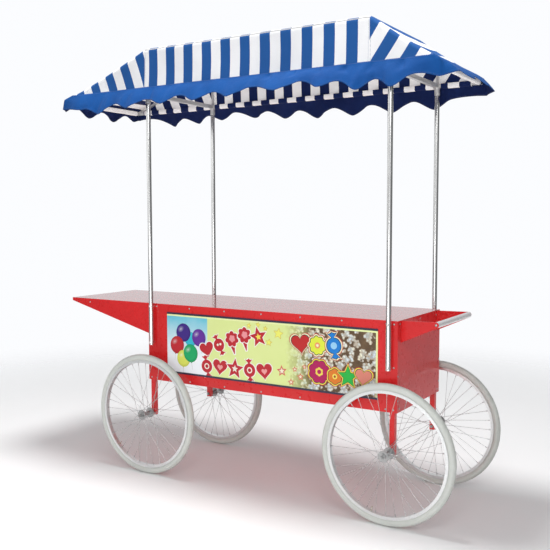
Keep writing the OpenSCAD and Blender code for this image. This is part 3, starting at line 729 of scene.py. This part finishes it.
def build_sleeves():
    """Striped hem sleeves round the eave rails, left open at the poles and at the feet of the rafters."""
    bm = bmesh.new()
    layers = (bm.loops.layers.uv.new("UVMap"), bm.verts.layers.float.new("seam"))
    low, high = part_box("eave_rail_rear")
    outline = sleeve_outline((low.y, low.z), (high.y, high.z))
    left_pole, right_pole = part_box("pole_sockets")
    stops = [(EAVE_X0 + 0.070, left_pole.x - 0.006), (left_pole.x + 0.034, right_pole.x - 0.034),
             (right_pole.x + 0.006, EAVE_X1 - 0.060)]
    for side in (-1, 1):
        for start, end in stops:
            add_sleeve(bm, layers, outline, [start, end], False, side)
    for name, side in (("eave_rail_left", -1), ("eave_rail_right", 1)):
        low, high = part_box(name)
        inner, outer = (low.x, high.x) if side > 0 else (-high.x, -low.x)
        end_outline = sleeve_outline((inner, low.z), (outer, high.z))
        add_sleeve(bm, layers, end_outline, [low.y + 0.012, high.y - 0.012], True, side)
    # The sleeves take the lining cloth, so they carry its glow too: painted light on their faces.
    new_object("hem_sleeves", mesh_of(bm, "hem_sleeves", STRIPED_BACK))


# ---- wheels

# Outside radius of a tyre, radius of its round section, and the circle that the section's middle runs on.
TYRE_RADIUS, SECTION_RADIUS, SECTION_RING = 0.33, 0.0175, 0.3125
TREAD_DEPTH, TREAD_START = 0.0011, 0.315
TYRE_STEPS = 700
# The moulded line on a sidewall: its angles round the section and how much wider it makes the tyre.
MOULDED_FROM, MOULDED_TO, MOULDED_SWELL = 1.62, 1.78, 1.022


def tyre_section():
    """Closed outline of a tyre's section as (radius, width), and each point's angle from the crown."""
    spans = [np.linspace(-150, -60, 13), np.linspace(-54, 54, 25), np.linspace(60, 150, 13)]
    angles = np.radians(np.concatenate(spans))
    points = [(0.2872, -0.0094), (0.2925, -0.0096)]
    points += [(SECTION_RING + SECTION_RADIUS * math.cos(a), SECTION_RADIUS * math.sin(a)) for a in angles]
    points += [(0.2925, 0.0096), (0.2872, 0.0094)]
    return points, np.array([-2.9, -2.75, *angles, 2.75, 2.9])


def tread(section_angle, step):
    """Extra radius of the tread: a centre rib between two grooves, and slanting blocks beside them."""
    degrees = abs(math.degrees(section_angle))
    if degrees > 50 or degrees < 7:
        return 0.0
    if degrees < 12:
        return -TREAD_DEPTH
    shift = 2 if section_angle > 0 else 0
    slant = int((degrees - 12) // 13)
    return -TREAD_DEPTH if (step + shift + slant) % 5 == 0 else 0.0


def build_tyre(corner, body, valve_degrees):
    """A tyre with tread and a moulded line on each sidewall, and the valve that stands in from its rim."""
    low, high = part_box(corner + "_rim")
    centre = (low + high) / 2
    points, angles = tyre_section()
    steps, size = TYRE_STEPS, len(points)
    verts = []
    for step in range(steps):
        turn = TAU * step / steps
        for (r, w), angle in zip(points, angles):
            r += tread(angle, step) if r > TREAD_START else 0.0
            w *= MOULDED_SWELL if MOULDED_FROM < abs(angle) < MOULDED_TO else 1.0
            verts.append((centre.x + r * math.cos(turn), centre.y + w, centre.z + r * math.sin(turn)))
    faces = grid_faces(steps, size, wrap_rows=True, wrap_columns=True)
    mesh = bpy.data.meshes.new(corner + "_tyre")
    mesh.from_pydata(verts, [], faces.tolist())
    uv_layer = mesh.uv_layers.new(name="UVMap")
    ring = TYRE_RADIUS * TAU / steps
    uvs = np.zeros((len(faces) * 4, 2))
    rows, columns = faces // size, faces % size
    last = rows.max(1, keepdims=True) == steps - 1
    rows = np.where(last & (rows == 0), steps, rows)
    uvs[:, 0] = (rows * ring).ravel()
    uvs[:, 1] = SECTION_RADIUS * angles[columns].ravel()
    uv_layer.data.foreach_set("uv", uvs.ravel())
    mesh.materials.append(RUBBER)
    tyre = new_object(corner + "_tyre_rubber", mesh, body)
    turn = math.radians(valve_degrees)
    along = Vector((math.cos(turn), 0, math.sin(turn)))
    nut = [(0.2868, 0.0), (0.2868, 0.0031), (0.2815, 0.0031), (0.2812, 0.0044), (0.2790, 0.0044)]
    stem_and_cap = [(0.2788, 0.0026), (0.2690, 0.0026), (0.2688, 0.0033), (0.2612, 0.0030), (0.2605, 0.0)]
    profile = nut + stem_and_cap
    make_turned(corner + "_valve", centre, along, profile, body, BRASS)
    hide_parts(corner + "_tyre")


# ---- sign

sign_low, sign_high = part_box("front_sign")
# Distances from the sign's left edge: where the sky ends, and where the heap of popcorn fades in and ends.
SKY_END, HEAP_FADE, HEAP_END = 0.272, (0.80, 0.95), 1.243
TOP_MARGIN = 0.009


def laminated(name):
    """A print under a clear laminate, still without its colours."""
    s = Shader(name, coat_weight=0.22, coat_roughness=0.1, specular_ior_level=0.25)
    p = s.place()
    s.set("Roughness", s.mapped(s.noise(p, 60.0, 3.0), 0.3, 0.7, 0.30, 0.42))
    return s, p


def sign_base():
    """The sign's printed ground: a sky, a pale green field and a heap of popcorn."""
    s, p = laminated("printed_sign_ground")
    x, _, z = s.axes(p)
    a = s.math("SUBTRACT", x, sign_low.x)
    b = s.math("SUBTRACT", sign_high.z, z)
    flat = s.join(a, b)
    haze = s.mapped(s.math("ADD", b, s.times(s.noise(flat, 9.0, 3.0), 0.10)), 0.06, 0.27)
    sky = s.mix(haze, (0.16, 0.55, 0.68), (0.86, 0.88, 0.92))
    field = s.mix(s.noise(flat, 6.0, 2.0), (0.66, 0.76, 0.27), (0.74, 0.82, 0.36))
    heap = popcorn_print(s, flat)
    uneven = s.math("ADD", a, s.times(s.noise(flat, 30.0, 4.0), 0.09))
    ground = s.mix(s.math("LESS_THAN", a, SKY_END), field, sky)
    ground = s.mix(s.mapped(uneven, *HEAP_FADE), ground, heap)
    top_margin = s.math("LESS_THAN", b, TOP_MARGIN)
    edge = s.math("LESS_THAN", HEAP_END, a)
    ground = s.mix(s.math("MAXIMUM", top_margin, edge), ground, (0.80, 0.87, 0.42))
    s.set("Base Color", ground)
    s.set("Normal", s.bump(s.noise(p, 220.0, 2.0), 0.0002, 0.2))
    return s.material


def popcorn_print(s, flat):
    """Puffed kernels: cream lobes on tan shadows, from two layers of cells bent by noise."""
    push = s.scaled(s.noise(flat, 45.0, output="Color"), (0.016, 0.016, 0.0))
    bent = s.node("VectorMath", {0: flat, 1: push}, operation="ADD")
    lobes = s.voronoi(bent, 70.0)
    light = s.mapped(s.voronoi(bent, 27.0), 0.15, 0.85, 1.0, 0.0)
    level = s.times(light, s.mapped(lobes, 0.15, 0.75, 1.0, 0.3))
    dark = s.mix(s.noise(flat, 30.0, 3.0), (0.035, 0.022, 0.012), (0.20, 0.12, 0.06))
    tan = s.mix(s.noise(flat, 22.0, 2.0), (0.48, 0.36, 0.22), (0.55, 0.52, 0.46))
    cream = s.mix(s.mapped(s.noise(flat, 16.0, 2.0), 0.35, 0.65), (0.84, 0.80, 0.62), (0.66, 0.74, 0.80))
    cream = s.shaded(cream, s.mapped(lobes, 0.15, 0.60, 1.05, 0.55))
    colour = s.mix(s.mapped(level, 0.17, 0.28, smooth=True), dark, tan)
    return s.mix(s.mapped(level, 0.26, 0.40, smooth=True), colour, cream)


def sign_ink():
    """Printed ink whose colour is stored on the shapes."""
    s, p = laminated("printed_sign_ink")
    ink = s.attribute("ink", "Color")
    grain = s.mapped(s.noise(p, 300.0, 3.0), 0.3, 0.7, 0.93, 1.03)
    s.set("Base Color", s.shaded(ink, grain))
    return s.material


def turned(points, degrees, at):
    """Points turned about the origin and then moved."""
    c, s = math.cos(math.radians(degrees)), math.sin(math.radians(degrees))
    return [(at[0] + x * c - y * s, at[1] + x * s + y * c) for x, y in points]


def circle(r, count=40, squash=1.0):
    return [(r * math.cos(TAU * k / count), squash * r * math.sin(TAU * k / count)) for k in range(count)]


def star(r, grow=0.0):
    points = []
    for k in range(10):
        size = 0.45 * r + grow if k % 2 else r + 1.5 * grow
        angle = TAU * k / 10 + math.pi / 2
        points.append((size * math.cos(angle), size * math.sin(angle)))
    return points


def heart(r, grow=0.0):
    points = []
    for k in range(48):
        t = TAU * k / 48
        x = 16 * math.sin(t) ** 3
        y = 13 * math.cos(t) - 5 * math.cos(2 * t) - 2 * math.cos(3 * t) - math.cos(4 * t)
        size = (r + grow) / 16
        points.append((x * size, (y + 2.5) * size))
    return points


FAN_HALF = [(0.80, 0.10), (1.25, 0.52), (1.18, 0.24)]
SWEET_FAN = [(x, -y) for x, y in FAN_HALF] + [(1.34, 0.0)] + FAN_HALF[::-1]


def sweet(r, grow=0.0):
    """A round wrapped sweet with a pleated fan at each side."""
    body = r * 0.62 + grow
    points = []
    for side in (1, -1):
        start = 28 if side > 0 else 208
        for x, y in SWEET_FAN:
            gx = grow * (0.7 if x > 1 else 0.2)
            gy = grow * (1.1 if abs(y) > 0.3 else 0.8)
            points.append((side * (x * r * 0.80 + gx), side * (y * r * 0.80 + math.copysign(gy, y or 1.0))))
        for k in range(13):
            a = math.radians(start + (152 - 28) * k / 12)
            points.append((body * math.cos(a), body * math.sin(a)))
    return points


def puff(r, lobes=7, depth=0.13, grow=0.0):
    """A cloud outline, as of candy floss or a popped kernel."""
    points = []
    for k in range(84):
        a = TAU * k / 84
        size = (r + grow) * (1 - depth + depth * abs(math.sin(lobes * a / 2)) * 2)
        points.append((size * math.cos(a), size * math.sin(a)))
    return points


def cone(r, grow=0.0):
    """The paper cone below a puff of candy floss."""
    mouth, tip = 0.42 * r + grow, 0.05 * r + grow
    return [(-mouth, -0.25 * r), (mouth, -0.25 * r), (tip, -1.65 * r - grow), (-tip, -1.65 * r - grow)]


class Print:
    """Collects flat printed shapes as thin closed slabs that all stand on the sign's face."""

    def __init__(self):
        self.bm = bmesh.new()
        self.ink = self.bm.loops.layers.float_color.new("ink")
        self.level = 0.00006

    def shape(self, points, colour):
        """Adds a shape above all earlier ones. Points are millimetres from the sign's left and top edges."""
        self.level += 0.000006
        outline = [Vector((sign_low.x + a / 1000, 0.0, sign_high.z - b / 1000)) for a, b in points]
        back = [self.bm.verts.new((p.x, sign_low.y, p.z)) for p in outline]
        front = [self.bm.verts.new((p.x, sign_low.y - self.level, p.z)) for p in outline]
        count = len(points)
        tris = geometry.tessellate_polygon([outline])
        made = [self.bm.faces.new([front[k] for k in tri]) for tri in tris]
        made += [self.bm.faces.new([back[k] for k in tri[::-1]]) for tri in tris]
        for k in range(count):
            n = (k + 1) % count
            made.append(self.bm.faces.new([front[k], front[n], back[n], back[k]]))
        for face in made:
            for corner in face.loops:
                corner[self.ink] = (*colour, 1.0)

    def finish(self, name):
        new_object(name, mesh_of(self.bm, name, sign_ink()), smooth=False)


INK_RED = (0.50, 0.020, 0.030)
INK_WHITE = (0.90, 0.90, 0.88)
INK_YELLOW = (0.86, 0.80, 0.10)
INK_CREAM = (0.86, 0.84, 0.55)
INK_PALE = (0.84, 0.82, 0.72)
INK_PLUM = (0.42, 0.01, 0.10)
INK_BLACK = (0.02, 0.02, 0.03)


def on_sign(points, at, degrees=0.0):
    """Puts a shape drawn with y up at a place on the sign, whose heights run down."""
    return turned([(x, -y) for x, y in points], degrees, at)


def balloon(art, at, r, colour, tilt=0.0):
    def blend(k):
        return tuple(c + (0.85 - c) * k for c in colour)

    string = [(-0.9, 0.9 * r), (0.9, 0.9 * r), (4.0, 1.9 * r), (2.6, 1.9 * r)]
    art.shape(turned(string, tilt, at), (0.55, 0.55, 0.55))
    knot = [(-4, r + 6), (0, r - 3), (4, r + 6)]
    art.shape(turned(knot, tilt, at), tuple(0.7 * c for c in colour))
    for size, tone in ((1.0, 0.75), (0.93, 0.9), (0.82, 1.0)):
        shift = (1 - size) * 0.45 * r
        skin = turned(circle(r * size, 44, 1.04), tilt, (at[0] - shift, at[1] - shift))
        art.shape(skin, tuple(tone * c for c in colour))
    for size, k in ((0.42, 0.10), (0.28, 0.22), (0.13, 0.5)):
        spot = (at[0] - 0.36 * r, at[1] - 0.38 * r)
        art.shape(turned(circle(r * size, 28, 0.7), -35, spot), blend(k))


# Balloons as (place, radius, colour, tilt), and stars as (a, b, radius).
BALLOONS = [
    ((160, 128), 38, (0.03, 0.48, 0.62), 0), ((112, 95), 48, (0.05, 0.02, 0.22), 8),
    ((216, 115), 45, (0.13, 0.03, 0.32), -10), ((69, 165), 46, (0.52, 0.02, 0.03), 14),
    ((112, 235), 44, (0.72, 0.76, 0.12), 4), ((160, 203), 47, (0.01, 0.38, 0.13), -6),
]
YELLOW_STARS = [(537, 26, 11), (592, 18, 12), (636, 34, 11), (713, 54, 27), (657, 103, 17)]
RED_STARS = [(733, 240, 27), (808, 224, 13), (840, 258, 17), (787, 290, 16), (862, 206, 11)]


def build_sign_art():
    """Balloons at the left, two rows of red treats in the middle and big coloured treats on the popcorn."""
    art = Print()

    def stamp(maker, r, at, colour, degrees=0, **extra):
        art.shape(on_sign(maker(r, **extra), at, degrees), colour)

    def outlined(maker, r, at, colour, degrees=0, rings=((4.5, INK_WHITE),), **extra):
        for grow, ring_colour in rings:
            stamp(maker, r, at, ring_colour, degrees, grow=grow, **extra)
        stamp(maker, r, at, colour, degrees, **extra)

    for at, r, colour, tilt in BALLOONS:
        balloon(art, at, r, colour, tilt)
    for a, b, r in YELLOW_STARS:
        outlined(star, r, (a, b), (0.84, 0.84, 0.16), 8, ((2.2, (0.62, 0.42, 0.05)),))
    for a, b, r in RED_STARS:
        outlined(star, r, (a, b), (0.62, 0.10, 0.10), -6, ((2.5, (0.66, 0.30, 0.10)),))
        stamp(star, r * 0.62, (a, b), (0.86, 0.80, 0.62), -6)

    # Upper row, climbing to the right: heart, sweet, two floss sticks, star.
    outlined(heart, 45, (270, 176), INK_RED, -16)
    outlined(sweet, 54, (348, 142), INK_RED, 62)
    for (a, b), tilt in (((430, 118), -16), ((508, 92), -12)):
        outlined(cone, 40, (a, b), INK_RED, tilt)
        outlined(puff, 37, (a, b - 14), INK_RED, tilt)
        stamp(puff, 17, (a + 2, b - 16), (0.80, 0.30, 0.32), tilt, lobes=5)
    outlined(star, 54, (594, 80), INK_RED, -14)
    for at in ((340, 142), (357, 137)):
        stamp(circle, 6.5, at, INK_PALE)
    stamp(star, 19, (594, 80), (0.86, 0.74, 0.10), -14)

    # Lower row: sweet, heart, star, sweet, heart.
    row = ((sweet, 56, (268, 262), 78), (heart, 46, (354, 262), 4), (star, 56, (448, 258), 4),
           (sweet, 56, (540, 256), 84), (heart, 47, (630, 256), -6))
    for maker, r, at, tilt in row:
        outlined(maker, r, at, INK_RED, tilt)
    for at in ((268, 262), (540, 256)):
        stamp(circle, 16, at, INK_PALE)
        stamp(circle, 10, at, INK_RED)
    for at, tilt in (((354, 262), 4), ((630, 256), -6)):
        stamp(heart, 17, at, (0.80, 0.34, 0.34), tilt)
    stamp(star, 20, (448, 258), INK_PALE, 4)

    # Three big treats on the upper popcorn.
    rings = ((13.0, INK_RED), (9.5, INK_CREAM), (4.0, INK_BLACK))
    outlined(heart, 50, (842, 98), (0.50, 0.02, 0.02), -8, rings)
    outlined(puff, 42, (935, 94), (0.72, 0.80, 0.06), 0, rings, lobes=9, depth=0.08)
    outlined(sweet, 60, (1024, 88), (0.01, 0.20, 0.62), 80, rings)
    stamp(circle, 15, (935, 94), (0.80, 0.30, 0.12))
    stamp(circle, 7, (935, 94), (0.86, 0.86, 0.60))
    stamp(circle, 17, (1024, 88), (0.30, 0.60, 0.86))

    # Four on the lower.
    rings = ((11.0, INK_RED), (7.5, INK_YELLOW), (3.0, INK_BLACK))
    outlined(puff, 53, (945, 222), INK_PLUM, 0, rings, lobes=8, depth=0.07)
    outlined(puff, 35, (1030, 236), (0.72, 0.20, 0.02), 0, rings, lobes=6, depth=0.06)
    outlined(star, 52, (1100, 230), (0.02, 0.46, 0.06), 0, rings)
    outlined(heart, 42, (1180, 228), (0.72, 0.24, 0.18), 6, rings)
    stamp(puff, 20, (945, 222), (0.84, 0.66, 0.10), lobes=6, depth=0.1)
    stamp(circle, 11, (945, 222), INK_PLUM)
    stamp(circle, 13, (1030, 236), (0.86, 0.72, 0.12))
    stamp(circle, 6, (1030, 236), (0.30, 0.04, 0.02))
    art.finish("sign_art")


# ---- CAD nodes that stay


def dress(names, material, bevel=0.0):
    """Gives CAD nodes their finish and, where the real edge is eased, a small bevel."""
    for name in names:
        node = nodes[name]
        node.data.materials.clear()
        node.data.materials.append(material)
        if bevel:
            rounded = node.modifiers.new("eased_edges", "BEVEL")
            rounded.width, rounded.segments = bevel, 2
            rounded.limit_method, rounded.angle_limit = "ANGLE", math.radians(40)


WHEELS = ["front_left", "front_right", "rear_left", "rear_right"]
LEGS = ["leg_" + w for w in WHEELS]
POLES = ["pole_" + w for w in WHEELS]
dress(LEGS + ["base_frame", "top_frame"], RED, 0.0012)
dress(["floor_panel", "table_top", "nose_shell", "front_panel", "rear_panel", "left_end_panel",
       "right_end_panel", "left_door", "right_door", "handle_arm_front", "handle_arm_rear"], RED)
dress(["handle_grip"], GRIP_STEEL)
dress(POLES + ["pole_spacers", "pole_bolts"], STAINLESS)
dress(["pole_sockets", "crossbar_left", "crossbar_right", "eave_rail_left", "eave_rail_right"], ALLOY)
dress(["eave_rail_front", "eave_rail_rear", "roof_frame", "roof_props", "hip_rafters"], RAIL_ALLOY)
dress(["door_tracks"], RAIL_ALLOY)
dress(["panel_screws", "axle_bolts", "axle_nuts", "bearing_cones"], ZINC)
dress(["left_door_pull", "right_door_pull"], PLASTIC)
dress(["sign_trims"], NAVY)
dress(["front_sign"], sign_base())
for wheel in WHEELS:
    dress([wheel + "_rim"], RIM_ALLOY)
    dress([wheel + "_spokes"], SPOKE_STEEL)
    dress([wheel + "_hub"], ZINC)

build_canopy()
build_sleeves()
build_sign_art()
VALVE_DEGREES = {"front_left": 225, "front_right": 255, "rear_left": 135, "rear_right": 105}
for wheel in WHEELS:
    build_tyre(wheel, wheel + "_wheel", VALVE_DEGREES[wheel])


# ---- floor, light and camera


# The floor's radius, and the distances over which it fades out.
FLOOR_RADIUS, FLOOR_FADE = 24.0, (2.0, 5.0)


def build_floor():
    """A plain pale floor that fades out into the backdrop away from the cart, and isn't seen from below."""
    mesh = bpy.data.meshes.new("floor")
    ring = [(x, y, -0.0005) for x, y in circle(FLOOR_RADIUS, 96)]
    mesh.from_pydata(ring, [], [list(range(96))])
    floor = placed("floor", mesh)
    s = Shader("floor", roughness=0.7, specular_ior_level=0.2)
    p = s.place()
    s.set("Base Color", s.mix(s.noise(p, 1.5, 3.0), (0.89, 0.89, 0.89), (0.91, 0.91, 0.91)))
    distance = s.node("VectorMath", {0: p}, "Value", operation="LENGTH")
    clear = s.node("BsdfTransparent", {})
    fade = s.mapped(distance, *FLOOR_FADE, smooth=True)
    fade = s.math("MAXIMUM", fade, s.node("NewGeometry", {}, "Backfacing"))
    blend = s.node("MixShader", {0: fade, 1: s.bsdf.outputs[0], 2: clear})
    s.put(s.output.inputs["Surface"], blend)
    mesh.materials.append(s.material)


# What shiny faces see: a pale room with four darker cards, each as (direction, brightness).
ROOM, CARD_EDGE, CARD_MIDDLE = 0.84, 0.86, 0.97
CARDS = [((0.34, 0.94, 0.0), 0.45), ((0.93, 0.37, 0.0), 0.10), ((-0.85, -0.53, 0.0), 0.16),
         ((0.96, -0.28, 0.0), 0.3)]
# How much light the room gives to matt faces.
AMBIENT = 0.38


def build_world():
    """A near-white room: plain to the camera, dimmer as a light, and with dark cards in reflections."""
    world = bpy.data.worlds.new("studio")
    world.use_nodes = True
    n = Nodes(world.node_tree)
    direction = n.node("TexCoord", {}, "Generated")
    seen = ROOM
    for card, brightness in CARDS:
        facing = n.node("VectorMath", {0: direction, 1: card}, "Value", operation="DOT_PRODUCT")
        seen = n.mapped(facing, CARD_EDGE, CARD_MIDDLE, seen, brightness, True)
    strength = n.mapped(n.node("LightPath", {}, "Is Glossy Ray"), 0.0, 1.0, AMBIENT, seen)
    strength = n.mapped(n.node("LightPath", {}, "Is Camera Ray"), 0.0, 1.0, strength, 1.0)
    background = n.tree.nodes["Background"]
    n.put(background.inputs["Color"], (0.97, 0.98, 1.0))
    n.put(background.inputs["Strength"], strength)
    bpy.context.scene.world = world
    bpy.context.scene.view_settings.view_transform = "Standard"


def area_light(name, location, target, size, power):
    """A soft round light that faces the target."""
    data = bpy.data.lights.new(name, "AREA")
    data.shape = "DISK"
    data.size = size
    data.energy = power
    made = placed(name, data)
    made.location = location
    made.rotation_mode = "QUATERNION"
    made.rotation_quaternion = (Vector(target) - Vector(location)).to_track_quat("-Z", "Y")


# Focal length on a 36 mm frame, place, and turns in degrees: towards the cart, down to it and a slight roll.
FOCAL_LENGTH, CAMERA_PLACE = 51.44, (2.2841, -3.5712, 1.4160)
CAMERA_TURNS = ((31.95, "Z"), (90 - 4.31, "X"), (-0.11, "Z"))


def build_camera():
    """Stands in front of the cart and to its handle side, half a metre above the table top."""
    data = bpy.data.cameras.new("camera")
    data.lens = FOCAL_LENGTH
    data.sensor_width = 36.0
    stand = Matrix.Translation(CAMERA_PLACE)
    for degrees, axis in CAMERA_TURNS:
        stand = stand @ Matrix.Rotation(math.radians(degrees), 4, axis)
    camera = placed("camera", data)
    camera.matrix_world = stand
    bpy.context.scene.camera = camera


build_floor()
build_world()
area_light("overhead", (0.0, -0.2, 6.5), (0.0, 0.0, 0.0), 1.1, 270.0)
area_light("key", (2.6, -3.6, 3.4), (0.0, 0.0, 1.2), 2.4, 60.0)
area_light("fill", (-3.4, -2.8, 2.2), (0.0, 0.0, 1.0), 2.6, 24.0)
area_light("low_fill", (1.2, -3.4, 0.5), (0.0, 0.0, 1.9), 1.8, 30.0)
build_camera()
